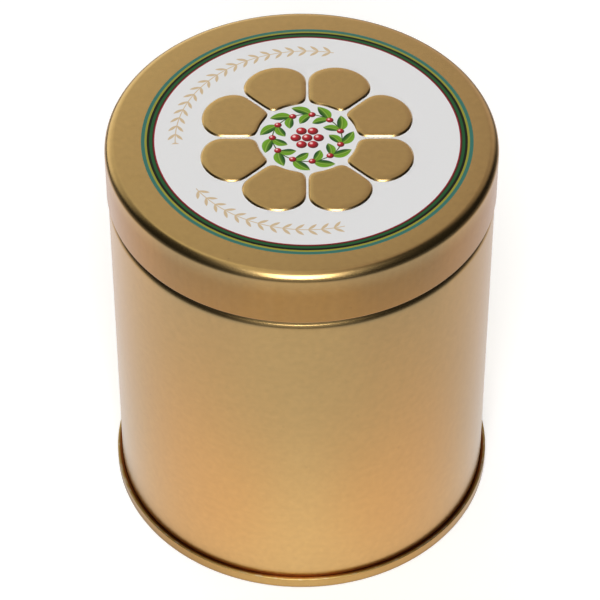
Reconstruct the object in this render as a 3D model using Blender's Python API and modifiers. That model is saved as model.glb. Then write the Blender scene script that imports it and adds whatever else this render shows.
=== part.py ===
"""Round slip-lid cookie tin: a rolled body, a drawn lid with a curled edge, and a seamed base.

Every sheet-metal piece is drawn as the middle line of its sheet, turned about the tin's axis and
given the sheet's thickness. The frame is metres, +Z up, origin at the centre of the foot.
"""

import math

import bmesh
import bpy

MM = 0.001

# Driving dimensions.
SHEET = 0.25 * MM
PANEL_HEIGHT = 116.4 * MM
LID_RADIUS = 50.0 * MM
LID_EDGE_HEIGHT = 100.3 * MM
BODY_RADIUS = 49.65 * MM
SEAM_RADIUS = 51.0 * MM
SEAM_HEIGHT = 3.4 * MM

# Lid: a soft shoulder, and an edge curled inwards round the body's neck.
SHOULDER_RADIUS = 2.5 * MM
LID_CURL_RADIUS = 0.6 * MM
LID_CURL_TURN = 265.0

# Body: a step with a crisp ridge leads in to the neck, and the mouth is curled inwards.
NECK_STEP = 1.0 * MM
STEP_START = 97.2 * MM
STEP_LEAN = 33.0
STEP_OUTER_BEND = 2.8 * MM
RIDGE_LEAN = 40.0
RIDGE_BEND = 0.35 * MM
MOUTH_CURL_RADIUS = 0.875 * MM
MOUTH_CURL_TURN = 270.0
MOUTH_TO_PANEL = 0.3 * MM

# Base: a recessed panel with a raised middle, held by a double seam whose top slopes to the body.
BASE_PANEL_HEIGHT = 3.6 * MM
BASE_RISE = 0.6 * MM
BASE_RISE_RADIUS = 38.0 * MM
BASE_RISE_SLOPE = 1.2 * MM
BASE_BEND = 0.6 * MM
SEAM_INNER_CORNER = 0.35 * MM
SEAM_OUTER_CORNER = 0.45 * MM
SEAM_TOP_CORNER = 0.35 * MM
SEAM_TOP_SLOPE = 103.0
SEAM_TOP_BEND = 0.15 * MM
LAYER_GAP = 0.06 * MM
BODY_HOOK_BOTTOM = 0.55 * MM
BODY_HOOK_TOP = 2.4 * MM
COVER_HOOK_BOTTOM = 1.5 * MM
COMPOUND_BOTTOM = 0.6 * MM
COMPOUND_TOP = 1.9 * MM

# Side seam: the folded edges of the rolled sheet, locked flat against the inside of the wall.
SIDE_SEAM_WIDTH = 3.6 * MM
SIDE_SEAM_DEPTH = 0.5 * MM
SIDE_SEAM_BOTTOM = 5.0 * MM
SIDE_SEAM_TOP = 95.5 * MM

# Embossed rosette of separate petals, struck a little off the lid's centre with the print.
EMBOSS_HEIGHT = 0.4 * MM
EMBOSS_SHIFT_X = 1.4 * MM
PETALS = 8
PETAL_INNER = 13.0 * MM
PETAL_OUTER = 28.0 * MM
PETAL_CROWN = 4.0 * MM
PETAL_GAP = 1.1 * MM
PETAL_SQUARENESS = 5.5
PETAL_POINTS = 32

TURN_STEPS = 48
MERGE = 0.01 * MM

GOLD_LACQUER = (0.48, 0.31, 0.12, 1.0)
BARE_TINPLATE = (0.62, 0.62, 0.60, 1.0)
SEALING_COMPOUND = (0.55, 0.53, 0.47, 1.0)


def clear_scene():
    for obj in list(bpy.data.objects):
        bpy.data.objects.remove(obj)


def collection(name):
    made = bpy.data.collections.new(name)
    bpy.context.scene.collection.children.link(made)
    return made


def material(name, colour, metallic, roughness):
    made = bpy.data.materials.new(name)
    made.use_nodes = True
    shader = made.node_tree.nodes["Principled BSDF"]
    shader.inputs["Base Color"].default_value = colour
    shader.inputs["Metallic"].default_value = metallic
    shader.inputs["Roughness"].default_value = roughness
    return made


def arc(centre_r, centre_z, radius, start, end, steps):
    """Points of an arc in the (radius, height) plane, angles in degrees from the outward direction."""
    points = []
    for i in range(steps + 1):
        angle = math.radians(start + (end - start) * i / steps)
        points.append((centre_r + radius * math.cos(angle), centre_z + radius * math.sin(angle)))
    return points


def turned(name, profile, into, finish, closed=False):
    """An object whose (radius, height) profile is turned about Z by a Screw modifier."""
    count = len(profile)
    edges = [(i, i + 1) for i in range(count - 1)]
    if closed:
        edges.append((count - 1, 0))
    mesh = bpy.data.meshes.new(name)
    mesh.from_pydata([(r, 0.0, z) for r, z in profile], edges, [])
    mesh.materials.append(finish)
    obj = bpy.data.objects.new(name, mesh)
    into.objects.link(obj)
    screw = obj.modifiers.new("turn", "SCREW")
    screw.steps = TURN_STEPS
    screw.render_steps = TURN_STEPS
    screw.use_merge_vertices = True
    screw.merge_threshold = MERGE
    screw.use_smooth_shade = True
    return obj


def turned_sheet(name, middle_line, into, finish):
    """A turned shell of the sheet's thickness, centred on its middle line."""
    obj = turned(name, middle_line, into, finish)
    shell = obj.modifiers.new("sheet", "SOLIDIFY")
    shell.thickness = SHEET
    shell.offset = 0.0
    shell.use_even_offset = True
    return obj


def helper(name, mesh, into):
    """A shape that only cuts or joins others, and isn't part of the tin."""
    obj = bpy.data.objects.new(name, mesh)
    into.objects.link(obj)
    obj.hide_render = True
    obj.display_type = "WIRE"
    return obj


def boolean(target, tool, operation):
    cut = target.modifiers.new(tool.name, "BOOLEAN")
    cut.operation = operation
    cut.object = tool
    cut.solver = "EXACT"


def lid_line():
    """Middle line of the lid, from the panel's centre to the end of its curled edge."""
    half = SHEET / 2
    shoulder_r = LID_RADIUS - SHOULDER_RADIUS
    curl_r = LID_RADIUS - LID_CURL_RADIUS
    line = [(0.0, PANEL_HEIGHT - half)]
    line += arc(shoulder_r, PANEL_HEIGHT - SHOULDER_RADIUS, SHOULDER_RADIUS - half, 90, 0, 4)
    line += arc(curl_r, LID_EDGE_HEIGHT + LID_CURL_RADIUS, LID_CURL_RADIUS - half, 0, -LID_CURL_TURN, 8)
    return line


def lean_inset(lean):
    """How far a bend of radius 1 moves the wall in while it turns from upright to a lean."""
    return 1 - math.cos(math.radians(lean))


def neck_step(wall_r):
    """Two long bends with a crisp ridge between them, which lead from the wall in to the neck."""
    ridge = 2 * RIDGE_BEND * (lean_inset(RIDGE_LEAN) - lean_inset(STEP_LEAN))
    inner_bend = (NECK_STEP - ridge) / lean_inset(STEP_LEAN) - STEP_OUTER_BEND
    r, z = wall_r, STEP_START
    points = [(r, z)]
    for radius, start, end, steps in (
        (STEP_OUTER_BEND, 0.0, STEP_LEAN, 3),
        (RIDGE_BEND, STEP_LEAN, RIDGE_LEAN, 1),
        (RIDGE_BEND, RIDGE_LEAN, STEP_LEAN, 1),
        (inner_bend, STEP_LEAN, 0.0, 3),
    ):
        for i in range(steps):
            lean = math.radians(start + (end - start) * i / steps)
            next_lean = math.radians(start + (end - start) * (i + 1) / steps)
            r -= radius * abs(math.cos(next_lean) - math.cos(lean))
            z += radius * abs(math.sin(next_lean) - math.sin(lean))
            points.append((r, z))
    return points


def body_line():
    """Middle line of the body, from the hook in the base seam to the end of the mouth curl."""
    half = SHEET / 2
    wall_r = BODY_RADIUS - half
    hook_r = wall_r + 2 * (SHEET + LAYER_GAP)
    turn_r = (hook_r - wall_r) / 2
    turn_z = BODY_HOOK_BOTTOM + turn_r
    line = [(hook_r, BODY_HOOK_TOP)]
    line += arc((hook_r + wall_r) / 2, turn_z, turn_r, 0, -180, 4)

    line += neck_step(wall_r)

    neck_r = wall_r - NECK_STEP
    mouth_top = PANEL_HEIGHT - SHEET - MOUTH_TO_PANEL
    curl = MOUTH_CURL_RADIUS - half
    line += arc(neck_r - curl, mouth_top - MOUTH_CURL_RADIUS, curl, 0, MOUTH_CURL_TURN, 9)
    return line


def base_line():
    """Middle line of the base, from its centre, round the outside of the seam, to its own hook."""
    half = SHEET / 2
    panel_z = BASE_PANEL_HEIGHT
    chuck_r = BODY_RADIUS - SHEET - LAYER_GAP - half
    outer_r = SEAM_RADIUS - half
    hook_r = BODY_RADIUS + LAYER_GAP + half
    line = [
        (0.0, panel_z + BASE_RISE),
        (BASE_RISE_RADIUS, panel_z + BASE_RISE),
        (BASE_RISE_RADIUS + BASE_RISE_SLOPE, panel_z),
    ]
    line += arc(chuck_r - BASE_BEND, panel_z - BASE_BEND, BASE_BEND, 90, 0, 3)
    line += arc(chuck_r + SEAM_INNER_CORNER, half + SEAM_INNER_CORNER, SEAM_INNER_CORNER, 180, 270, 3)
    line += arc(outer_r - SEAM_OUTER_CORNER, half + SEAM_OUTER_CORNER, SEAM_OUTER_CORNER, 270, 360, 3)

    corner = SEAM_TOP_CORNER - half
    line += arc(outer_r - corner, SEAM_HEIGHT - SEAM_TOP_CORNER, corner, 0, SEAM_TOP_SLOPE, 4)
    slope = math.radians(SEAM_TOP_SLOPE)
    slope_r, slope_z = line[-1]
    run = slope_r - hook_r - SEAM_TOP_BEND * (1 + math.cos(slope))
    bend_z = slope_z - run * math.tan(slope - math.pi / 2) - SEAM_TOP_BEND * math.sin(slope)
    line += arc(hook_r + SEAM_TOP_BEND, bend_z, SEAM_TOP_BEND, SEAM_TOP_SLOPE, 180, 2)
    line.append((hook_r, COVER_HOOK_BOTTOM))
    return line


def compound_section():
    """Cross-section of the sealing compound, between the body's hook and the seam's outer wall."""
    inner = BODY_RADIUS + 2 * SHEET + 3 * LAYER_GAP
    outer = SEAM_RADIUS - SHEET - LAYER_GAP
    return [
        (outer, COMPOUND_TOP),
        (outer, COMPOUND_BOTTOM),
        (inner, COMPOUND_BOTTOM),
        (inner, COMPOUND_TOP),
    ]


def signed_power(value, power):
    return math.copysign(abs(value) ** power, value)


def petal_outline(index, inset):
    """Points of one petal: a rounded block in polar coordinates, with its outer side crowned."""
    middle = (PETAL_OUTER + PETAL_INNER) / 2
    depth = (PETAL_OUTER - PETAL_INNER) / 2 - inset
    points = []
    for i in range(PETAL_POINTS):
        turn = 2 * math.pi * i / PETAL_POINTS
        across = signed_power(math.cos(turn), 2 / PETAL_SQUARENESS)
        along = signed_power(math.sin(turn), 2 / PETAL_SQUARENESS)
        crown = PETAL_CROWN * across * across * (1 + along) / 2
        radius = middle + depth * along - crown
        half_angle = math.pi / PETALS - (PETAL_GAP / 2 + inset) / radius
        angle = 2 * math.pi * (index + 0.5) / PETALS - across * half_angle
        points.append((radius * math.cos(angle), radius * math.sin(angle)))
    return points


def petal_plate(name, index, inset, bottom, top, into):
    """One petal as a flat plate from a filled 2D curve, made a mesh so that a Boolean can use it."""
    outline = petal_outline(index, inset)
    curve = bpy.data.curves.new(name, "CURVE")
    curve.dimensions = "2D"
    curve.fill_mode = "BOTH"
    curve.extrude = (top - bottom) / 2
    spline = curve.splines.new("POLY")
    spline.points.add(len(outline) - 1)
    for point, (x, y) in zip(spline.points, outline, strict=True):
        point.co = (x, y, 0.0, 1.0)
    spline.use_cyclic_u = True
    drawn = bpy.data.objects.new(name, curve)
    into.objects.link(drawn)
    drawn.location = (EMBOSS_SHIFT_X, 0.0, (top + bottom) / 2)
    bpy.context.view_layer.update()

    graph = bpy.context.evaluated_depsgraph_get()
    mesh = bpy.data.meshes.new_from_object(drawn.evaluated_get(graph))
    place = drawn.matrix_world.copy()
    bpy.data.objects.remove(drawn)
    welder = bmesh.new()
    welder.from_mesh(mesh)
    bmesh.ops.remove_doubles(welder, verts=welder.verts, dist=MERGE)
    bmesh.ops.recalc_face_normals(welder, faces=welder.faces)
    welder.to_mesh(mesh)
    welder.free()
    plate = helper(name, mesh, into)
    plate.matrix_world = place
    return plate


def emboss_petals(lid, tools):
    """Raise each petal above the panel, and press the same petal up into the lid from below."""
    underside = PANEL_HEIGHT - SHEET
    for index in range(PETALS):
        raised = petal_plate(
            f"raise_{index}",
            index,
            0.0,
            PANEL_HEIGHT - SHEET / 2,
            PANEL_HEIGHT + EMBOSS_HEIGHT,
            tools,
        )
        boolean(lid, raised, "UNION")
    for index in range(PETALS):
        pressed = petal_plate(
            f"press_{index}",
            index,
            SHEET,
            underside - SHEET,
            underside + EMBOSS_HEIGHT,
            tools,
        )
        boolean(lid, pressed, "DIFFERENCE")


def side_seam_strip(tools):
    """The folded layers of the side seam, a flat strip that overlaps the inside of the wall."""
    outer_y = BODY_RADIUS - SHEET * 0.8
    inner_y = BODY_RADIUS - SHEET - SIDE_SEAM_DEPTH
    size = (SIDE_SEAM_WIDTH, outer_y - inner_y, SIDE_SEAM_TOP - SIDE_SEAM_BOTTOM)
    place = (0.0, (outer_y + inner_y) / 2, (SIDE_SEAM_TOP + SIDE_SEAM_BOTTOM) / 2)
    builder = bmesh.new()
    bmesh.ops.create_cube(builder, size=1.0)
    bmesh.ops.scale(builder, vec=size, verts=builder.verts)
    bmesh.ops.translate(builder, vec=place, verts=builder.verts)
    mesh = bpy.data.meshes.new("side_seam_strip")
    builder.to_mesh(mesh)
    builder.free()
    return helper("side_seam_strip", mesh, tools)


def build():
    clear_scene()
    tin = collection("cookie_tin")
    tools = collection("tools")
    gold = material("gold_lacquer", GOLD_LACQUER, 1.0, 0.35)
    plain = material("bare_tinplate", BARE_TINPLATE, 1.0, 0.3)
    rubber = material("sealing_compound", SEALING_COMPOUND, 0.0, 0.8)

    lid = turned_sheet("lid", lid_line(), tin, gold)
    emboss_petals(lid, tools)
    body = turned_sheet("body", body_line(), tin, gold)
    boolean(body, side_seam_strip(tools), "UNION")
    turned_sheet("base_end", base_line(), tin, plain)
    turned("seam_compound", compound_section(), tin, rubber, closed=True)


build()
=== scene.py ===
"""Looks of the round slip-lid cookie tin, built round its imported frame.

Lengths are metres and +Z is up. The tin's sizes come from the frame's nodes; a few details that a
node's box can't give, such as the sheet's thickness, are named here in millimetres.
"""

import math

import bmesh
import bpy
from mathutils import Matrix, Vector


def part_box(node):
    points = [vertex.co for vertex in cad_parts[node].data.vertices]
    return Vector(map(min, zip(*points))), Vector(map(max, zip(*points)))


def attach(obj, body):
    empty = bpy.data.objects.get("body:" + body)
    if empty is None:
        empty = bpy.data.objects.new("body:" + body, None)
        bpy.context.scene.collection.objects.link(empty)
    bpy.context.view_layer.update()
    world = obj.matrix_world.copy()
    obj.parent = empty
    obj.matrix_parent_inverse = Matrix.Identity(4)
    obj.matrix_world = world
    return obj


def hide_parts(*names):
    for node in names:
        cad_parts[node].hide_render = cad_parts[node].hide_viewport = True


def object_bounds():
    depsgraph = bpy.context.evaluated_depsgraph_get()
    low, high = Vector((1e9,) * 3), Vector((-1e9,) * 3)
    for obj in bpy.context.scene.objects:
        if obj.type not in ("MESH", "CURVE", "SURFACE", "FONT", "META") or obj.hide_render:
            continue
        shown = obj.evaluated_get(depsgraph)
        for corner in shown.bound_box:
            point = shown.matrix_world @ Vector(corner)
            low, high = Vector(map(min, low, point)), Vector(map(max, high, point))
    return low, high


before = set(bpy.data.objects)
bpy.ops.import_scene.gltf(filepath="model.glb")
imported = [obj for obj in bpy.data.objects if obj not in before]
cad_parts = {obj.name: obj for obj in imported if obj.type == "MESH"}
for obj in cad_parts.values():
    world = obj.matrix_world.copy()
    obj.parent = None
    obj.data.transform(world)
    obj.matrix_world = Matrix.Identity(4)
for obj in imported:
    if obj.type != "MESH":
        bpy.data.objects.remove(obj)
cad_low, cad_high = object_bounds()

MM = 0.001
SHEET = 0.25 * MM

# Lid.
LID_LOW, LID_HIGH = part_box("lid")
EMBOSS_HEIGHT = 0.4 * MM
PANEL_Z = LID_HIGH.z - EMBOSS_HEIGHT
LID_EDGE_Z = LID_LOW.z
LID_R = LID_HIGH.x
SHOULDER_R = 2.5 * MM
LID_CURL_R = 0.6 * MM
LID_CURL_TURN = 265.0

# The print and the rosette share a centre a little off the lid's own.
PRINT_X = 1.4 * MM
PRINT_R = 42.05 * MM
PETALS = 8
PETAL_INNER = 13.0 * MM
PETAL_OUTER = 28.0 * MM
PETAL_CROWN = 4.0 * MM
PETAL_GAP = 1.1 * MM
PETAL_SQUARENESS = 5.5
EMBOSS_SLOPE = 0.5 * MM
EMBOSS_SLOPE_STEPS = 10
CELL_MARGIN = 1.0 * MM
CELL_ARC_STEPS = 48
CELL_SIDE_STEPS = 24

# Body.
BODY_LOW, BODY_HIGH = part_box("body")
LAYER_GAP = 0.06 * MM
BODY_R = BODY_HIGH.x - 2 * (SHEET + LAYER_GAP)
MOUTH_Z = BODY_HIGH.z
NECK_STEP = 1.0 * MM
STEP_Z = LID_EDGE_Z - 3.1 * MM
STEP_LEAN = 33.0
STEP_OUTER_BEND = 2.8 * MM
RIDGE_LEAN = 40.0
RIDGE_BEND = 0.35 * MM
BEND_STEPS = 12
MOUTH_CURL_R = 0.875 * MM
MOUTH_CURL_TURN = 270.0
BODY_HOOK_TOP = 2.4 * MM

# Side seam at the back: a fine line outside, and the flattened folds inside.
SEAM_ANGLE = 90.0
SEAM_WIDTH = 3.6 * MM
SEAM_DEPTH = 0.5 * MM
SEAM_LOW = 5.0 * MM
SEAM_HIGH = STEP_Z - 1.3 * MM
SEAM_EDGE = 0.18 * MM
SEAM_LINE_WIDTH = 0.22 * MM
SEAM_LINE_DEPTH = 0.16 * MM

# Base end.
BASE_LOW, BASE_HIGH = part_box("base_end")
RIM_R = BASE_HIGH.x
RIM_HEIGHT = 3.4 * MM
BASE_RISE = 0.6 * MM
BASE_RISE_R = 38.0 * MM
BASE_RISE_SLOPE = 1.2 * MM
BASE_PANEL_Z = BASE_HIGH.z - BASE_RISE - SHEET / 2
BASE_BEND = 0.6 * MM
RIM_INNER_CORNER = 0.35 * MM
RIM_OUTER_CORNER = 0.45 * MM
RIM_TOP_CORNER = 0.35 * MM
RIM_TOP_SLOPE = 103.0
RIM_TOP_BEND = 0.15 * MM
COVER_HOOK_Z = 1.5 * MM

FULL_TURN = 2 * math.pi
TURN_STEPS = 360
CURL_STEPS = 40
SMOOTH_UP_TO = 38.0
WELD_DISTANCE = 0.005 * MM


# ---------------------------------------------------------------- profiles


def arc(centre_r, centre_z, radius, start, end, steps):
    """Points of an arc in the (radius, height) plane, angles in degrees from the outward direction."""
    points = []
    for i in range(steps + 1):
        angle = math.radians(start + (end - start) * i / steps)
        points.append((centre_r + radius * math.cos(angle), centre_z + radius * math.sin(angle)))
    return points


def lid_side_line():
    """Middle line of the lid outside its flat panel: shoulder, skirt and curled edge."""
    half = SHEET / 2
    shoulder_r = LID_R - SHOULDER_R
    curl_r = LID_R - LID_CURL_R
    line = arc(shoulder_r, PANEL_Z - SHOULDER_R, SHOULDER_R - half, 90, 0, 28)
    line += arc(curl_r, LID_EDGE_Z + LID_CURL_R, LID_CURL_R - half, 0, -LID_CURL_TURN, CURL_STEPS)
    return line


def lean_inset(lean):
    """How far a bend of radius 1 moves the wall in while it turns from upright to a lean."""
    return 1 - math.cos(math.radians(lean))


def neck_step(wall_r):
    """Two long bends with a crisp ridge between them, which lead from the wall in to the neck."""
    ridge = 2 * RIDGE_BEND * (lean_inset(RIDGE_LEAN) - lean_inset(STEP_LEAN))
    inner_bend = (NECK_STEP - ridge) / lean_inset(STEP_LEAN) - STEP_OUTER_BEND
    r, z = wall_r, STEP_Z
    points = [(r, z)]
    for radius, start, end in (
        (STEP_OUTER_BEND, 0.0, STEP_LEAN),
        (RIDGE_BEND, STEP_LEAN, RIDGE_LEAN),
        (RIDGE_BEND, RIDGE_LEAN, STEP_LEAN),
        (inner_bend, STEP_LEAN, 0.0),
    ):
        for i in range(BEND_STEPS):
            lean = math.radians(start + (end - start) * i / BEND_STEPS)
            next_lean = math.radians(start + (end - start) * (i + 1) / BEND_STEPS)
            r -= radius * abs(math.cos(next_lean) - math.cos(lean))
            z += radius * abs(math.sin(next_lean) - math.sin(lean))
            points.append((r, z))
    return points


def body_line():
    """Middle line of the body, from the hook in the base seam to the end of the mouth curl."""
    half = SHEET / 2
    wall_r = BODY_R - half
    hook_r = wall_r + 2 * (SHEET + LAYER_GAP)
    turn_r = (hook_r - wall_r) / 2
    line = [(hook_r, BODY_HOOK_TOP)]
    line += arc((hook_r + wall_r) / 2, BODY_LOW.z + half + turn_r, turn_r, 0, -180, BEND_STEPS)

    line.append((wall_r, SEAM_LOW))
    line.append((wall_r, SEAM_LOW + SEAM_EDGE))
    line.append((wall_r, SEAM_HIGH - SEAM_EDGE))
    line.append((wall_r, SEAM_HIGH))
    line += neck_step(wall_r)

    neck_r = wall_r - NECK_STEP
    curl = MOUTH_CURL_R - half
    line += arc(neck_r - curl, MOUTH_Z - MOUTH_CURL_R, curl, 0, MOUTH_CURL_TURN, CURL_STEPS)
    return line


def base_line():
    """Middle line of the base, from its centre, round the outside of the seam, to its own hook."""
    half = SHEET / 2
    panel_z = BASE_PANEL_Z
    chuck_r = BODY_R - SHEET - LAYER_GAP - half
    outer_r = RIM_R - half
    hook_r = BODY_R + LAYER_GAP + half
    line = [(0.0, panel_z + BASE_RISE)]
    for i in range(BEND_STEPS + 1):
        slope = i / BEND_STEPS
        line.append((
            BASE_RISE_R + BASE_RISE_SLOPE * slope,
            panel_z + BASE_RISE * (1 + math.cos(math.pi * slope)) / 2,
        ))
    line += arc(chuck_r - BASE_BEND, panel_z - BASE_BEND, BASE_BEND, 90, 0, BEND_STEPS)
    line += arc(chuck_r + RIM_INNER_CORNER, half + RIM_INNER_CORNER, RIM_INNER_CORNER, 180, 270, 10)
    outer_corner = RIM_OUTER_CORNER
    line += arc(outer_r - outer_corner, half + outer_corner, outer_corner, 270, 360, BEND_STEPS)

    corner = RIM_TOP_CORNER - half
    line += arc(outer_r - corner, RIM_HEIGHT - RIM_TOP_CORNER, corner, 0, RIM_TOP_SLOPE, 16)
    slope = math.radians(RIM_TOP_SLOPE)
    slope_r, slope_z = line[-1]
    run = slope_r - hook_r - RIM_TOP_BEND * (1 + math.cos(slope))
    bend_z = slope_z - run * math.tan(slope - math.pi / 2) - RIM_TOP_BEND * math.sin(slope)
    line += arc(hook_r + RIM_TOP_BEND, bend_z, RIM_TOP_BEND, RIM_TOP_SLOPE, 180, 6)
    line.append((hook_r, COVER_HOOK_Z))
    return line


def sideways(line, distance):
    """The line moved to its left by distance, mitred at its points. Points on the axis stay on it."""
    moved = []
    for i, (r, z) in enumerate(line):
        before = line[max(i - 1, 0)]
        after = line[min(i + 1, len(line) - 1)]
        arriving = Vector((r - before[0], z - before[1]))
        leaving = Vector((after[0] - r, after[1] - z))
        if i == 0:
            arriving = leaving
        if i == len(line) - 1:
            leaving = arriving
        arriving.normalize()
        leaving.normalize()
        middle = (arriving + leaving).normalized()
        reach = distance / max(middle.dot(leaving), 0.5)
        moved.append((0.0 if r == 0 else r - middle.y * reach, z + middle.x * reach))
    return moved


# ---------------------------------------------------------------- meshes


def finished(name, mesh, materials, body, node):
    """Turns a bmesh into a smooth-shaded piece that stands for a node and rides on its body."""
    data = bpy.data.meshes.new(name)
    mesh.to_mesh(data)
    mesh.free()
    for material in materials:
        data.materials.append(material)
    data.shade_smooth()
    data.set_sharp_from_angle(angle=math.radians(SMOOTH_UP_TO))
    piece = bpy.data.objects.new(name, data)
    bpy.context.scene.collection.objects.link(piece)
    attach(piece, body)
    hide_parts(node)
    return piece


def turned_solid(outline, slots, angles, move=None):
    """A closed (radius, height) outline turned round Z, with a material index in slots for each edge.

    move, if given, shifts a point's radius: it is called with the point's index, r, z and angle.
    """
    mesh = bmesh.new()
    rings = []
    axis_points = {}
    for angle in angles:
        ring = []
        for index, (r, z) in enumerate(outline):
            if r == 0:
                if index not in axis_points:
                    axis_points[index] = mesh.verts.new((0.0, 0.0, z))
                ring.append(axis_points[index])
                continue
            if move:
                r = move(index, r, z, angle)
            ring.append(mesh.verts.new((r * math.cos(angle), r * math.sin(angle), z)))
        rings.append(ring)
    for ring, following in zip(rings, rings[1:] + rings[:1], strict=True):
        for i, slot in enumerate(slots):
            j = (i + 1) % len(outline)
            corners = [ring[i], ring[j], following[j], following[i]]
            corners = list(dict.fromkeys(corners))
            if len(corners) > 2:
                mesh.faces.new(corners).material_index = slot
    bmesh.ops.recalc_face_normals(mesh, faces=mesh.faces)
    return mesh


def sheet_solid(line, left_slot, right_slot, angles, move=None):
    """A sheet turned round Z, from its middle line in the (radius, height) plane."""
    left = sideways(line, SHEET / 2)
    right = sideways(line, -SHEET / 2)
    last = len(line) - 1
    slots = [left_slot] * last + [right_slot] + [right_slot] * last
    outline = left + right[::-1]
    if line[0][0] > 0:
        slots.append(right_slot)
    return turned_solid(outline, slots, angles, move)


def even_angles():
    return [FULL_TURN * i / TURN_STEPS for i in range(TURN_STEPS)]


def angles_with_seam():
    """Even angles, with close ones across the side seam."""
    middle = math.radians(SEAM_ANGLE)
    reach = SEAM_WIDTH / 2 + 4 * SEAM_EDGE
    count = 48
    close = [middle + reach * i / count / BODY_R for i in range(-count, count + 1)]
    far = [angle for angle in even_angles() if abs(angle - middle) > (reach + SEAM_EDGE) / BODY_R]
    return sorted(close + far)


def smooth(value):
    value = min(max(value, 0.0), 1.0)
    return value * value * (3 - 2 * value)


# ---------------------------------------------------------------- lid


def square_points():
    """Points round a square of half side 1, anticlockwise from its lower left corner."""
    points = []
    for start, step, count in (
        ((-1, -1), (1, 0), CELL_ARC_STEPS),
        ((1, -1), (0, 1), CELL_SIDE_STEPS),
        ((1, 1), (-1, 0), CELL_ARC_STEPS),
        ((-1, 1), (0, -1), CELL_SIDE_STEPS),
    ):
        for i in range(count):
            along = 2 * i / count
            points.append((start[0] + step[0] * along, start[1] + step[1] * along))
    return points


def petal_point(index, across, along, inset):
    """Where a point of the petal's square lands, the outline moved in by inset."""
    middle = (PETAL_OUTER + PETAL_INNER) / 2
    depth = (PETAL_OUTER - PETAL_INNER) / 2 - inset
    crown = PETAL_CROWN * across * across * (1 + along) / 2
    radius = middle + depth * along - crown
    half_angle = math.pi / PETALS - (PETAL_GAP / 2 + inset) / radius
    angle = FULL_TURN * (index + 0.5) / PETALS - across * half_angle
    return Vector((PRINT_X + radius * math.cos(angle), radius * math.sin(angle)))


def cell_point(index, across, along):
    """The same point on the border of the petal's cell, a sector that meets its neighbours."""
    radius = (PETAL_OUTER + PETAL_INNER) / 2
    radius += along * ((PETAL_OUTER - PETAL_INNER) / 2 + CELL_MARGIN)
    angle = FULL_TURN * (index + 0.5) / PETALS - across * math.pi / PETALS
    return Vector((PRINT_X + radius * math.cos(angle), radius * math.sin(angle)))


def rounded(across, along):
    """Pulls a point of the square's border in to the rounded block that a petal has for outline."""
    power = PETAL_SQUARENESS
    pull = (abs(across) ** power + abs(along) ** power) ** (-1 / power)
    return across * pull, along * pull


def petal_cell(mesh, index, panel_z, gold, white):
    """One raised petal and the flat sheet round it, as loops of faces from the border inwards."""
    border = square_points()
    loops = [([cell_point(index, u, v) for u, v in border], 0.0, white)]
    for i in range(EMBOSS_SLOPE_STEPS + 1):
        share = i / EMBOSS_SLOPE_STEPS
        inset = EMBOSS_SLOPE * (share - 0.5)
        points = [petal_point(index, *rounded(u, v), inset) for u, v in border]
        loops.append((points, EMBOSS_HEIGHT * smooth(share), white if i == 0 else gold))
    inner = loops[-1][0]
    centre = sum(inner, Vector((0.0, 0.0))) / len(inner)
    for share in (0.85, 0.6, 0.3):
        points = [centre.lerp(point, share) for point in inner]
        loops.append((points, EMBOSS_HEIGHT, gold))

    rings = []
    for points, height, _ in loops:
        rings.append([mesh.verts.new((point.x, point.y, panel_z + height)) for point in points])
    for ring, following, (_, _, slot) in zip(rings, rings[1:], loops[1:], strict=False):
        join_rings(mesh, ring, following, slot)
    top = mesh.verts.new((centre.x, centre.y, panel_z + EMBOSS_HEIGHT))
    fan(mesh, rings[-1], top, gold)


def join_rings(mesh, ring, following, slot):
    """A band of four-sided faces between two rings of as many vertices."""
    count = len(ring)
    for i in range(count):
        j = (i + 1) % count
        mesh.faces.new((ring[i], ring[j], following[j], following[i])).material_index = slot


def fan(mesh, ring, tip, slot):
    """Triangles that fill a ring, from its vertices to a tip inside it."""
    for i, vertex in enumerate(ring):
        mesh.faces.new((vertex, ring[(i + 1) % len(ring)], tip)).material_index = slot


def circle(mesh, centre_x, radius, z, count):
    """A ring of vertices, placed so that it meets the petal cells' borders."""
    ring = []
    for i in range(count):
        angle = FULL_TURN * i / count
        ring.append(mesh.verts.new((centre_x + radius * math.cos(angle), radius * math.sin(angle), z)))
    return ring


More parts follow.
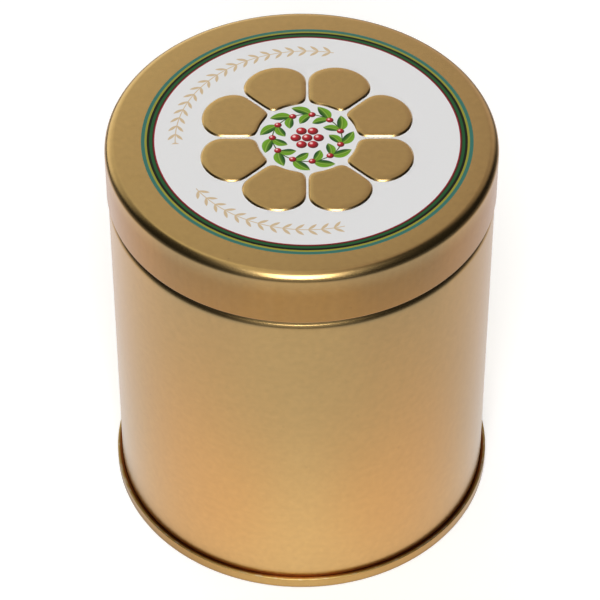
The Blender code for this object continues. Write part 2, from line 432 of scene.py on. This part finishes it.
def build_lid(lacquer, artwork, inside):
    """The lid's middle surface, thickened: petal cells, flat rings round them, then the sides."""
    gold, white = 0, 1
    mesh = bmesh.new()
    panel_z = PANEL_Z - SHEET / 2
    count = PETALS * CELL_ARC_STEPS
    for index in range(PETALS):
        petal_cell(mesh, index, panel_z, gold, white)

    inner_edge = PETAL_INNER - CELL_MARGIN
    middle = [circle(mesh, PRINT_X, inner_edge * share, panel_z, count) for share in (1.0, 0.7, 0.4)]
    for ring, following in zip(middle, middle[1:], strict=False):
        join_rings(mesh, ring, following, white)
    fan(mesh, middle[-1], mesh.verts.new((PRINT_X, 0.0, panel_z)), white)

    outer_edge = PETAL_OUTER + CELL_MARGIN
    outside = [circle(mesh, PRINT_X, outer_edge, panel_z, count)]
    outside.append(circle(mesh, PRINT_X, (outer_edge + PRINT_R) / 2, panel_z, count))
    outside.append(circle(mesh, PRINT_X, PRINT_R, panel_z, count))
    for r, z in lid_side_line():
        outside.append(circle(mesh, 0.0, r, z, count))
    for i, (ring, following) in enumerate(zip(outside, outside[1:], strict=False)):
        join_rings(mesh, ring, following, white if i < 2 else gold)

    bmesh.ops.remove_doubles(mesh, verts=mesh.verts, dist=WELD_DISTANCE)
    bmesh.ops.recalc_face_normals(mesh, faces=mesh.faces)
    if max(mesh.faces, key=lambda face: face.calc_center_median().z).normal.z < 0:
        bmesh.ops.reverse_faces(mesh, faces=mesh.faces)
    lid = finished("lid_shell", mesh, [lacquer, artwork, inside, inside], "lid", "lid")
    shell = lid.modifiers.new("sheet", "SOLIDIFY")
    shell.thickness = SHEET
    shell.offset = 0.0
    shell.use_even_offset = True
    shell.material_offset = 2
    return lid


# ---------------------------------------------------------------- body and base


def seam_move(inside_from):
    """How the side seam shifts the wall: folds stand proud inside, and a fine line sinks outside."""

    def move(index, r, z, angle):
        across = (angle - math.radians(SEAM_ANGLE)) * BODY_R
        if abs(across) > SEAM_WIDTH:
            return r
        if index < inside_from:
            edge = smooth((SEAM_WIDTH / 2 - abs(across)) / SEAM_EDGE)
            end = smooth((z - SEAM_LOW) / SEAM_EDGE) * smooth((SEAM_HIGH - z) / SEAM_EDGE)
            return r - SEAM_DEPTH * edge * end
        line = smooth(1 - abs(across - SEAM_WIDTH / 2) / SEAM_LINE_WIDTH)
        return r - SEAM_LINE_DEPTH * line

    return move


def build_body(lacquer, inside):
    line = body_line()
    mesh = sheet_solid(line, 1, 0, angles_with_seam(), seam_move(len(line)))
    return finished("body_shell", mesh, [lacquer, inside], "tin", "body")


def build_base(lacquer, inside):
    mesh = sheet_solid(base_line(), 1, 0, even_angles())
    return finished("base_shell", mesh, [lacquer, inside], "tin", "base_end")


def build_compound(rubber):
    """The sealing compound, a flat ring with rounded corners inside the base seam."""
    low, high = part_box("seam_compound")
    inner_r = BODY_HIGH.x + LAYER_GAP
    corner = (high.x - inner_r) / 3
    outline = []
    for r, z, start in (
        (high.x - corner, high.z - corner, 90),
        (high.x - corner, low.z + corner, 0),
        (inner_r + corner, low.z + corner, -90),
        (inner_r + corner, high.z - corner, -180),
    ):
        outline += arc(r, z, corner, start, start - 90, 5)
    mesh = turned_solid(outline, [0] * len(outline), even_angles())
    return finished("compound_ring", mesh, [rubber], "tin", "seam_compound")


# ---------------------------------------------------------------- node trees


class Graph:
    """Short calls for building a node tree."""

    def __init__(self, tree):
        tree.nodes.clear()
        self.tree = tree

    def feed(self, socket, value):
        if isinstance(value, bpy.types.NodeSocket):
            self.tree.links.new(value, socket)
        else:
            socket.default_value = value

    def add(self, kind, inputs=None, **settings):
        node = self.tree.nodes.new(kind)
        for key, value in settings.items():
            setattr(node, key, value)
        for key, value in (inputs or {}).items():
            self.feed(node.inputs[key], value)
        return node

    def math(self, operation, *values):
        node = self.add("ShaderNodeMath", operation=operation)
        for socket, value in zip(node.inputs, values, strict=False):
            self.feed(socket, value)
        return node.outputs[0]

    def times(self, first, second):
        return self.math("MULTIPLY", first, second)

    def plus(self, first, second):
        return self.math("ADD", first, second)

    def minus(self, first, second):
        return self.math("SUBTRACT", first, second)

    def size(self, value):
        """The value without its sign."""
        return self.math("ABSOLUTE", value)

    def step(self, value, start, end):
        """0 where value is at start, 1 where it is at end, smooth between them."""
        inputs = {"Value": value, "From Min": start, "From Max": end}
        return self.add("ShaderNodeMapRange", inputs, interpolation_type="SMOOTHSTEP").outputs[0]

    def mix(self, factor, first, second):
        node = self.add("ShaderNodeMix", data_type="RGBA")
        self.feed(node.inputs[0], factor)
        self.feed(node.inputs[6], first)
        self.feed(node.inputs[7], second)
        return node.outputs[2]

    def blend(self, factor, first, second):
        """Like mix, for plain numbers."""
        node = self.add("ShaderNodeMix", data_type="FLOAT")
        self.feed(node.inputs[0], factor)
        self.feed(node.inputs[2], first)
        self.feed(node.inputs[3], second)
        return node.outputs[0]

    def scale(self, colour, amount):
        inputs = {0: colour, "Scale": amount}
        return self.add("ShaderNodeVectorMath", inputs, operation="SCALE").outputs[0]

    def tint(self, colour, by):
        """A colour with each channel multiplied by its own number."""
        return self.add("ShaderNodeVectorMath", {0: colour, 1: by}, operation="MULTIPLY").outputs[0]

    def vector(self, x, y, z):
        return self.add("ShaderNodeCombineXYZ", {"X": x, "Y": y, "Z": z}).outputs[0]

    def noise(self, vector, scale, detail=2.0):
        inputs = {"Vector": vector, "Scale": scale, "Detail": detail}
        return self.add("ShaderNodeTexNoise", inputs).outputs[0]

    def place(self):
        """x, y and z on the piece, in millimetres."""
        coordinates = self.add("ShaderNodeTexCoord").outputs["Object"]
        parts = self.add("ShaderNodeSeparateXYZ", {"Vector": coordinates})
        return [self.math("DIVIDE", parts.outputs[i], MM) for i in range(3)]


def colour(red, green, blue):
    """A colour given as display values of 0 to 255, made linear."""

    def linear(value):
        value /= 255
        return value / 12.92 if value <= 0.04045 else ((value + 0.055) / 1.055) ** 2.4

    return (linear(red), linear(green), linear(blue), 1.0)


def surface(name):
    """A new material, its graph and its shader, which the output shows."""
    material = bpy.data.materials.new(name)
    material.use_nodes = True
    graph = Graph(material.node_tree)
    shader = graph.add("ShaderNodeBsdfPrincipled")
    output = graph.add("ShaderNodeOutputMaterial")
    graph.tree.links.new(shader.outputs[0], output.inputs["Surface"])
    return material, graph, shader


def bump(graph, shader, height, distance):
    """Fine relief for the shader, its height of 0 to 1 times distance in metres."""
    node = graph.add("ShaderNodeBump", {"Height": height, "Distance": distance, "Strength": 1.0})
    graph.tree.links.new(node.outputs[0], shader.inputs["Normal"])


def polar(graph, x, y):
    """Distance from the axis and angle about it, from x and y."""
    radius = graph.math("SQRT", graph.plus(graph.math("POWER", x, 2), graph.math("POWER", y, 2)))
    return radius, graph.math("ARCTAN2", y, x)


def rolled_grain(graph, along, across):
    """Fine lines that the rolling mill leaves in the sheet."""
    stretched = graph.vector(graph.times(along, 0.05), across, 0.0)
    return graph.noise(stretched, scale=2.2, detail=3.0)


# ---------------------------------------------------------------- materials


# The lid's lacquer is painted darker down its skirt: painted shade for the dimmer light that the skirt
# mirrors.
GOLD = (0.50, 0.325, 0.118, 1.0)
SHADED_SKIRT_GOLD = (0.40, 0.212, 0.052, 1.0)
BASE_GOLD = (0.42, 0.27, 0.08, 1.0)
SKIRT_SHADE_FROM = 0.4 * MM
SKIRT_SHADE_TO = 7.4 * MM
LACQUER_SHADOW = (0.1, 0.09, 0.05, 1.0)
LACQUER_GLEAM = (1.0, 0.86, 0.6, 1.0)
RUBBED_TIN = colour(208, 204, 196)
# Painted shade for the deep groove between the body and the base seam.
GROOVE_SHADE = colour(136, 74, 26)
SPECK = colour(92, 70, 40)
TINPLATE = (colour(202, 200, 195), colour(208, 206, 200))
RUBBER = (colour(186, 182, 168), colour(206, 202, 190))


def rubbed_edge(graph, radius, z, height, half_width):
    """1 on the outer edge at a height, 0 from half_width above and below it."""
    away = graph.size(graph.minus(z, height / MM))
    outside = graph.step(radius, BODY_R / MM - 0.5, BODY_R / MM - 0.2)
    return graph.times(graph.step(away, half_width / MM, 0.0), outside)


def groove_shade_mask(graph, radius, z, groove_r, lowest):
    """1 in a groove round the tin, above its lowest height: where the lacquer is painted darker as
    painted shade.
    """
    away = graph.size(graph.minus(radius, groove_r / MM))
    return graph.times(graph.step(away, 0.55, 0.3), graph.step(z, lowest / MM, lowest / MM + 0.3))


def gold_lacquer(name, tones, wrapped, edge=None, groove=None):
    """Satin gold lacquer over tinplate.

    tones holds the colours above and below the lid's shoulder; a darker colour below is painted shade
    down the skirt. wrapped says that the rolled grain runs round the tin. edge is the height and half
    width of a rubbed edge. groove is the radius and the lowest height of a groove that is painted
    darker, as painted shade in the crease.
    """
    material, graph, shader = surface(name)
    x, y, z = graph.place()
    where = graph.vector(x, y, z)
    radius, angle = polar(graph, x, y)

    cloud = graph.noise(where, scale=0.045, detail=3.0)
    mottle = graph.noise(where, scale=0.6, detail=4.0)
    speckle = graph.noise(where, scale=5.0, detail=2.0)
    if wrapped:
        grain = rolled_grain(graph, graph.times(angle, BODY_R / MM), z)
    else:
        grain = rolled_grain(graph, x, y)

    # Painted shade: below the shoulder the colour turns to the second, darker tone down the lid's skirt.
    drawn = graph.step(z, (PANEL_Z - SKIRT_SHADE_FROM) / MM, (PANEL_Z - SKIRT_SHADE_TO) / MM)
    shade = graph.mix(drawn, *tones)
    shade = graph.mix(graph.times(cloud, 0.05), shade, LACQUER_SHADOW)
    shade = graph.mix(graph.times(grain, 0.04), shade, LACQUER_GLEAM)
    shade = graph.scale(shade, graph.blend(mottle, 0.91, 1.09))

    rough = graph.plus(0.21, graph.times(speckle, 0.05))
    rough = graph.plus(rough, graph.times(cloud, 0.03))
    if edge:
        rubbed = rubbed_edge(graph, radius, z, *edge)
        patches = graph.step(graph.noise(where, scale=0.35, detail=4.0), 0.5, 0.62)
        shade = graph.mix(graph.times(graph.times(rubbed, patches), 0.3), shade, RUBBED_TIN)
        rough = graph.blend(rubbed, rough, 0.48)
    if groove:
        # Painted shade: the groove above the base seam is darkened towards a red brown.
        shade = graph.mix(groove_shade_mask(graph, radius, z, *groove), shade, GROOVE_SHADE)
    specks = graph.add("ShaderNodeTexVoronoi", {"Vector": where, "Scale": 0.16})
    dust = graph.times(graph.step(specks.outputs["Distance"], 0.035, 0.012), 0.55)
    shade = graph.mix(dust, shade, SPECK)

    graph.feed(shader.inputs["Base Color"], shade)
    graph.feed(shader.inputs["Metallic"], 1.0)
    graph.feed(shader.inputs["Roughness"], rough)
    graph.feed(shader.inputs["Coat Weight"], 0.3)
    graph.feed(shader.inputs["Coat Roughness"], 0.22)
    relief = graph.plus(graph.times(speckle, 0.35), graph.times(grain, 0.25))
    bump(graph, shader, relief, 0.004 * MM)
    return material


def bare_tinplate():
    """The inside: clear-lacquered tinplate, a little dull, with its faint spangle."""
    material, graph, shader = surface("bare_tinplate")
    x, y, z = graph.place()
    where = graph.vector(x, y, z)
    crystal = graph.add("ShaderNodeTexVoronoi", {"Vector": where, "Scale": 0.5}).outputs["Color"]
    tone = graph.add("ShaderNodeSeparateColor", {"Color": crystal}).outputs[0]
    grain = rolled_grain(graph, x, z)
    graph.feed(shader.inputs["Base Color"], graph.mix(tone, *TINPLATE))
    graph.feed(shader.inputs["Metallic"], 0.75)
    graph.feed(shader.inputs["Roughness"], graph.plus(0.34, graph.times(tone, 0.04)))
    bump(graph, shader, grain, 0.003 * MM)
    return material


def sealing_rubber():
    """The seam's lining: pale, matt and a little porous."""
    material, graph, shader = surface("sealing_rubber")
    x, y, z = graph.place()
    pores = graph.noise(graph.vector(x, y, z), scale=3.0, detail=4.0)
    graph.feed(shader.inputs["Base Color"], graph.mix(pores, *RUBBER))
    graph.feed(shader.inputs["Roughness"], 0.8)
    bump(graph, shader, pores, 0.02 * MM)
    return material


# ---------------------------------------------------------------- artwork


# Lengths in the artwork are millimetres. Each band is the colour outside its radius.
BANDS = (
    (41.15, colour(52, 114, 104)),
    (40.60, colour(150, 148, 50)),
    (39.95, colour(4, 12, 0)),
    (39.25, colour(22, 86, 42)),
    (38.95, colour(60, 24, 16)),
    (38.65, colour(150, 24, 44)),
)
ENAMEL = colour(234, 235, 238)
ENAMEL_SHADE = colour(226, 227, 231)
INK_EDGE = 0.03
WREATH_R = 8.8
WREATH_LEAVES = 11
WREATH_BERRY_R = 0.95
CLUSTER_R = 2.9
CLUSTER_BERRY_R = 1.36
STEM_GREEN = colour(70, 96, 40)
LEAF_TONES = (colour(16, 74, 22), colour(112, 164, 34), colour(160, 190, 84))
SPRIG_R = 33.4
SPRIG_LEAVES = 66
SPRIG_GOLD = colour(204, 172, 118)
BERRY_RED = colour(196, 30, 44)
BERRY_SHADE = colour(96, 6, 18)
BERRY_SHINE = colour(246, 214, 214)


def inside_window(graph, angle, middle, half):
    """1 where angle, in radians, is within half degrees of the middle one."""
    away = graph.minus(angle, math.radians(middle))
    away = graph.size(graph.math("WRAP", away, math.pi, -math.pi))
    return graph.math("LESS_THAN", away, math.radians(half))


def leaf(graph, along, across, start, lean, length, half_width):
    """A pointed leaf from (start, 0), leaning from the line. Returns its mask and its cross position."""
    cosine, sine = math.cos(math.radians(lean)), math.sin(math.radians(lean))
    ahead = graph.minus(along, start)
    up = graph.plus(graph.times(ahead, cosine), graph.times(across, sine))
    side = graph.minus(graph.times(across, cosine), graph.times(ahead, sine))
    share = graph.math("DIVIDE", up, length)
    bulge = graph.times(share, graph.minus(1.0, share))
    room = graph.minus(graph.times(bulge, 4 * half_width), graph.size(side))
    return graph.step(room, -INK_EDGE, INK_EDGE), graph.math("DIVIDE", side, half_width)


def repeated(graph, radius, angle, ring_radius, count):
    """Millimetres along and across a ring from the middle of the nearest of count equal places."""
    pitch = FULL_TURN / count
    folded = graph.math("WRAP", angle, pitch / 2, -pitch / 2)
    return graph.times(folded, ring_radius), graph.minus(radius, ring_radius)


def draw_leaves(graph, shade, along, across, start, length, half_width, lean, tones):
    """A pair of leaves that lean to either side of the ring."""
    dark, light, vein = tones
    for side in (1, -1):
        mask, cross = leaf(graph, along, across, start, lean * side, length, half_width)
        tone = graph.mix(graph.step(cross, -0.9, 0.7), dark, light)
        rib = graph.step(graph.size(cross), 0.16, 0.06)
        tone = graph.mix(graph.times(rib, 0.6), tone, vein)
        shade = graph.mix(mask, shade, tone)
    return shade


def draw_berries(graph, shade, x, y, ring_radius, count, turn, berry_radius):
    """Round red berries on a ring, each lit from its upper left."""
    radius, angle = polar(graph, x, y)
    pitch = FULL_TURN / count
    number = graph.math("ROUND", graph.math("DIVIDE", graph.minus(angle, turn), pitch))
    middle = graph.plus(graph.times(number, pitch), turn)
    dx = graph.minus(x, graph.times(graph.math("COSINE", middle), ring_radius))
    dy = graph.minus(y, graph.times(graph.math("SINE", middle), ring_radius))
    away, _ = polar(graph, dx, dy)
    shine_x = graph.plus(dx, berry_radius * 0.32)
    shine_y = graph.minus(dy, berry_radius * 0.38)
    shine, _ = polar(graph, shine_x, shine_y)
    darkness = graph.step(shine, berry_radius * 0.3, berry_radius * 1.35)
    red = graph.mix(darkness, BERRY_RED, BERRY_SHADE)
    red = graph.mix(graph.step(shine, berry_radius * 0.42, berry_radius * 0.12), red, BERRY_SHINE)
    inside = graph.step(away, berry_radius + INK_EDGE, berry_radius - INK_EDGE)
    return graph.mix(inside, shade, red)


def draw_wreath(graph, shade, x, y):
    """Green leaves and red berries round a small cluster of berries, in the rosette's middle."""
    radius, angle = polar(graph, x, y)
    along, across = repeated(graph, radius, angle, WREATH_R, WREATH_LEAVES)
    stem = graph.step(graph.size(across), 0.2, 0.12)
    shade = graph.mix(stem, shade, STEM_GREEN)
    shade = draw_leaves(
        graph, shade, along, across, start=-2.3, length=5.2, half_width=1.3, lean=38, tones=LEAF_TONES
    )
    half_place = FULL_TURN / WREATH_LEAVES / 2
    shade = draw_berries(graph, shade, x, y, WREATH_R, WREATH_LEAVES, half_place, WREATH_BERRY_R)
    shade = draw_berries(graph, shade, x, y, CLUSTER_R, 6, 0.0, CLUSTER_BERRY_R)
    return draw_berries(graph, shade, x, y, 0.0, 1, 0.0, CLUSTER_BERRY_R)


def draw_sprigs(graph, shade, radius, angle):
    """Two arcs of small pale-gold leaves near the edge of the white."""
    along, across = repeated(graph, radius, angle, SPRIG_R, SPRIG_LEAVES)
    drawn = shade
    for side in (1, -1):
        mask, _ = leaf(graph, along, across, start=-1.45, lean=40 * side, length=3.0, half_width=0.42)
        drawn = graph.mix(mask, drawn, SPRIG_GOLD)
    drawn = graph.mix(graph.step(graph.size(across), 0.16, 0.09), drawn, SPRIG_GOLD)
    arcs = graph.math(
        "MAXIMUM",
        inside_window(graph, angle, middle=131, half=53),
        inside_window(graph, angle, middle=250, half=36),
    )
    return graph.mix(graph.times(arcs, 0.8), shade, drawn)


def lid_artwork():
    """White enamel with coloured bands round it, a wreath, and sprigs; all under one varnish."""
    material, graph, shader = surface("lid_artwork")
    x, y, z = graph.place()
    x = graph.minus(x, PRINT_X / MM)
    radius, angle = polar(graph, x, y)
    mottle = graph.noise(graph.vector(x, y, z), scale=3.5, detail=3.0)
    shade = graph.mix(graph.times(mottle, 0.5), ENAMEL, ENAMEL_SHADE)
    shade = draw_sprigs(graph, shade, radius, angle)
    shade = draw_wreath(graph, shade, x, y)
    for inner, tone in reversed(BANDS):
        shade = graph.mix(graph.step(radius, inner - INK_EDGE, inner + INK_EDGE), shade, tone)
    graph.feed(shader.inputs["Base Color"], shade)
    graph.feed(shader.inputs["Roughness"], graph.plus(0.34, graph.times(mottle, 0.08)))
    graph.feed(shader.inputs["Specular IOR Level"], 0.2)
    bump(graph, shader, mottle, 0.003 * MM)
    return material


# ---------------------------------------------------------------- studio


WHITE = (1.0, 1.0, 1.0, 1.0)
ROOM_LIGHT = 0.015
PAPER_SHADE = (0.86, 0.86, 0.86, 1.0)
PAPER = (0.88, 0.88, 0.88, 1.0)
FLOOR_RADIUS = 4.0
LEFT_TINT = (1.23, 1.21, 1.06, 1.0)
RIGHT_TINT = (0.70, 0.61, 0.57, 1.0)

# The light that the tin mirrors from the floor.
FLOOR_LIGHT = (0.92, 0.91, 0.93, 1.0)
FOOT_LIGHT = (1.50, 1.34, 1.20, 1.0)
FOOT_SIDE_LIGHT = (1.48, 1.13, 0.92, 1.0)
FAR_LIGHT = (0.12, 0.12, 0.12, 1.0)
SIDE_TINT = (1.03, 0.955, 0.92)
SKIRT_TINT = (0.78, 0.89, 1.06)


def between(graph, value, low, high, soft):
    """1 between low and high degrees, fading out over soft degrees beyond them."""
    rise = graph.step(value, low - soft, low)
    fall = graph.step(value, high + soft, high)
    return graph.times(rise, fall)


def studio_world():
    """A soft box in front and above, a pale wall behind that fades to the right; white to the eye.

    Directions are given by their angle to the right of the middle plane and by their pitch within
    it: 0 degrees at the front horizon, 90 straight up, 180 at the horizon behind.
    """
    world = bpy.data.worlds.new("studio")
    bpy.context.scene.world = world
    world.use_nodes = True
    graph = Graph(world.node_tree)
    direction = graph.add("ShaderNodeTexCoord").outputs["Generated"]
    parts = graph.add("ShaderNodeSeparateXYZ", {"Vector": direction})
    right, back, up = parts.outputs
    to_degrees = 180 / math.pi
    side = graph.times(graph.math("ARCSINE", right), to_degrees)
    forward = graph.times(back, -1.0)
    pitch = graph.times(graph.math("ARCTAN2", up, forward), to_degrees)
    pitch = graph.math("WRAP", pitch, 270.0, -90.0)

    def patch(sides, side_fade, pitches, pitch_fade, strength):
        across = between(graph, side, *sides, side_fade)
        upwards = between(graph, pitch, *pitches, pitch_fade)
        return graph.times(graph.times(across, upwards), strength)

    soft_box = patch(sides=(-9, 7), side_fade=7, pitches=(28, 62), pitch_fade=4, strength=8.5)
    glow = patch(sides=(-14, 12), side_fade=24, pitches=(0, 70), pitch_fade=20, strength=0.38)
    ceiling = patch(sides=(-13, 6), side_fade=15, pitches=(78, 112), pitch_fade=20, strength=0.78)
    wall = patch(sides=(-48, 30), side_fade=22, pitches=(165, 195), pitch_fade=65, strength=1.16)
    white = graph.plus(graph.plus(soft_box, glow), ROOM_LIGHT)
    pale = graph.plus(ceiling, wall)
    turn = graph.step(side, -9.0, 8.0)
    tint = graph.mix(turn, LEFT_TINT, RIGHT_TINT)
    neutral = graph.vector(white, white, white)
    light = graph.add("ShaderNodeVectorMath", {0: graph.scale(tint, pale), 1: neutral})
    seen = graph.add("ShaderNodeLightPath").outputs["Is Camera Ray"]
    shown = graph.mix(seen, light.outputs[0], WHITE)
    background = graph.add("ShaderNodeBackground", {"Color": shown})
    output = graph.add("ShaderNodeOutputWorld")
    graph.tree.links.new(background.outputs[0], output.inputs["Surface"])


def floor_light(graph, x, y):
    """What the tin mirrors of the floor: a pool of light, brightest and warmest round the foot."""
    radius, _ = polar(graph, x, y)
    aside = graph.size(x)
    near = graph.times(graph.step(radius, 125.0, 55.0), graph.step(y, 10.0, -80.0))
    foot = graph.mix(graph.step(aside, 0.0, 45.0), FOOT_LIGHT, FOOT_SIDE_LIGHT)
    pool = graph.mix(near, FLOOR_LIGHT, foot)

    reach, _ = polar(graph, graph.times(x, 1.7), y)
    pool = graph.mix(graph.step(reach, 280.0, 700.0), pool, FAR_LIGHT)
    pool = graph.scale(pool, graph.blend(graph.step(x, -150.0, 150.0), 1.03, 0.88))
    pool = graph.mix(graph.step(aside, 35.0, 95.0), pool, graph.tint(pool, SIDE_TINT))

    # Only the lid's skirt mirrors what lies beyond this circle.
    beyond, _ = polar(graph, x, graph.plus(y, 14.3))
    cooler = graph.times(graph.step(beyond, 131.0, 136.0), graph.step(aside, 50.0, 95.0))
    cooler = graph.times(cooler, graph.step(y, -15.0, -55.0))
    pool = graph.mix(cooler, pool, graph.tint(pool, SKIRT_TINT))

    # The foot shades the floor beside it, on the left most of all, and darkens it where they meet.
    rim_r = RIM_R / MM
    beside = graph.times(graph.step(radius, rim_r + 4.5, rim_r + 1.5), graph.step(aside, 5.0, 35.0))
    left_to_right = graph.blend(graph.step(x, -30.0, 30.0), 0.78, 0.92)
    pool = graph.scale(pool, graph.blend(beside, 1.0, left_to_right))
    contact = graph.step(radius, rim_r + 1.0, rim_r - 0.4)
    return graph.scale(pool, graph.blend(contact, 1.0, 0.45))


def floor_paper():
    """White paper to the eye, and the pool of light to everything else."""
    material, graph, shader = surface("floor_paper")
    x, y, z = graph.place()
    mirrored = graph.add("ShaderNodeEmission", {"Color": floor_light(graph, x, y)})
    fibres = graph.noise(graph.vector(x, y, z), scale=0.8, detail=3.0)
    graph.feed(shader.inputs["Base Color"], graph.mix(fibres, PAPER_SHADE, PAPER))
    graph.feed(shader.inputs["Roughness"], 0.9)
    graph.feed(shader.inputs["Specular IOR Level"], 0.0)
    graph.feed(shader.inputs["Emission Color"], WHITE)
    graph.feed(shader.inputs["Emission Strength"], 0.35)

    seen = graph.add("ShaderNodeLightPath").outputs["Is Camera Ray"]
    either = graph.add("ShaderNodeMixShader", {0: seen, 1: mirrored.outputs[0], 2: shader.outputs[0]})
    output = next(node for node in graph.tree.nodes if node.type == "OUTPUT_MATERIAL")
    graph.tree.links.new(either.outputs[0], output.inputs["Surface"])
    return material


def studio_floor():
    """A plain pale floor, large enough to reach past the view."""
    mesh = bmesh.new()
    bmesh.ops.create_circle(mesh, cap_ends=True, radius=FLOOR_RADIUS, segments=96)
    data = bpy.data.meshes.new("floor")
    mesh.to_mesh(data)
    mesh.free()
    data.materials.append(floor_paper())
    floor = bpy.data.objects.new("floor", data)
    bpy.context.scene.collection.objects.link(floor)
    floor.location.z = cad_low.z - 0.02 * MM


def studio_camera():
    """A long lens, aimed at the middle of the tin from 45 degrees above the front."""
    distance = 856.9 * MM
    elevation = math.radians(45.37)
    aim = Vector((-0.43 * MM, 0.0, 58.0 * MM))
    data = bpy.data.cameras.new("camera")
    data.sensor_width = 36.0
    data.lens = 193.4
    camera = bpy.data.objects.new("camera", data)
    bpy.context.scene.collection.objects.link(camera)
    camera.location = aim + distance * Vector((0.0, -math.cos(elevation), math.sin(elevation)))
    camera.rotation_euler = (math.pi / 2 - elevation, 0.0, 0.0)
    bpy.context.scene.camera = camera


# ---------------------------------------------------------------- scene


lid_gold = gold_lacquer("lid_gold", (GOLD, SHADED_SKIRT_GOLD), wrapped=False, edge=(LID_EDGE_Z, 0.5 * MM))
body_gold = gold_lacquer("body_gold", (GOLD, GOLD), wrapped=True)
base_gold = gold_lacquer(
    "base_gold",
    (BASE_GOLD, BASE_GOLD),
    wrapped=True,
    edge=(RIM_HEIGHT, 0.3 * MM),
    groove=(BODY_R + 0.3 * MM, RIM_HEIGHT / 2),
)
tinplate = bare_tinplate()

build_lid(lid_gold, lid_artwork(), tinplate)
build_body(body_gold, tinplate)
build_base(base_gold, tinplate)
build_compound(sealing_rubber())

studio_world()
studio_floor()
studio_camera()
bpy.context.scene.view_settings.view_transform = "Standard"
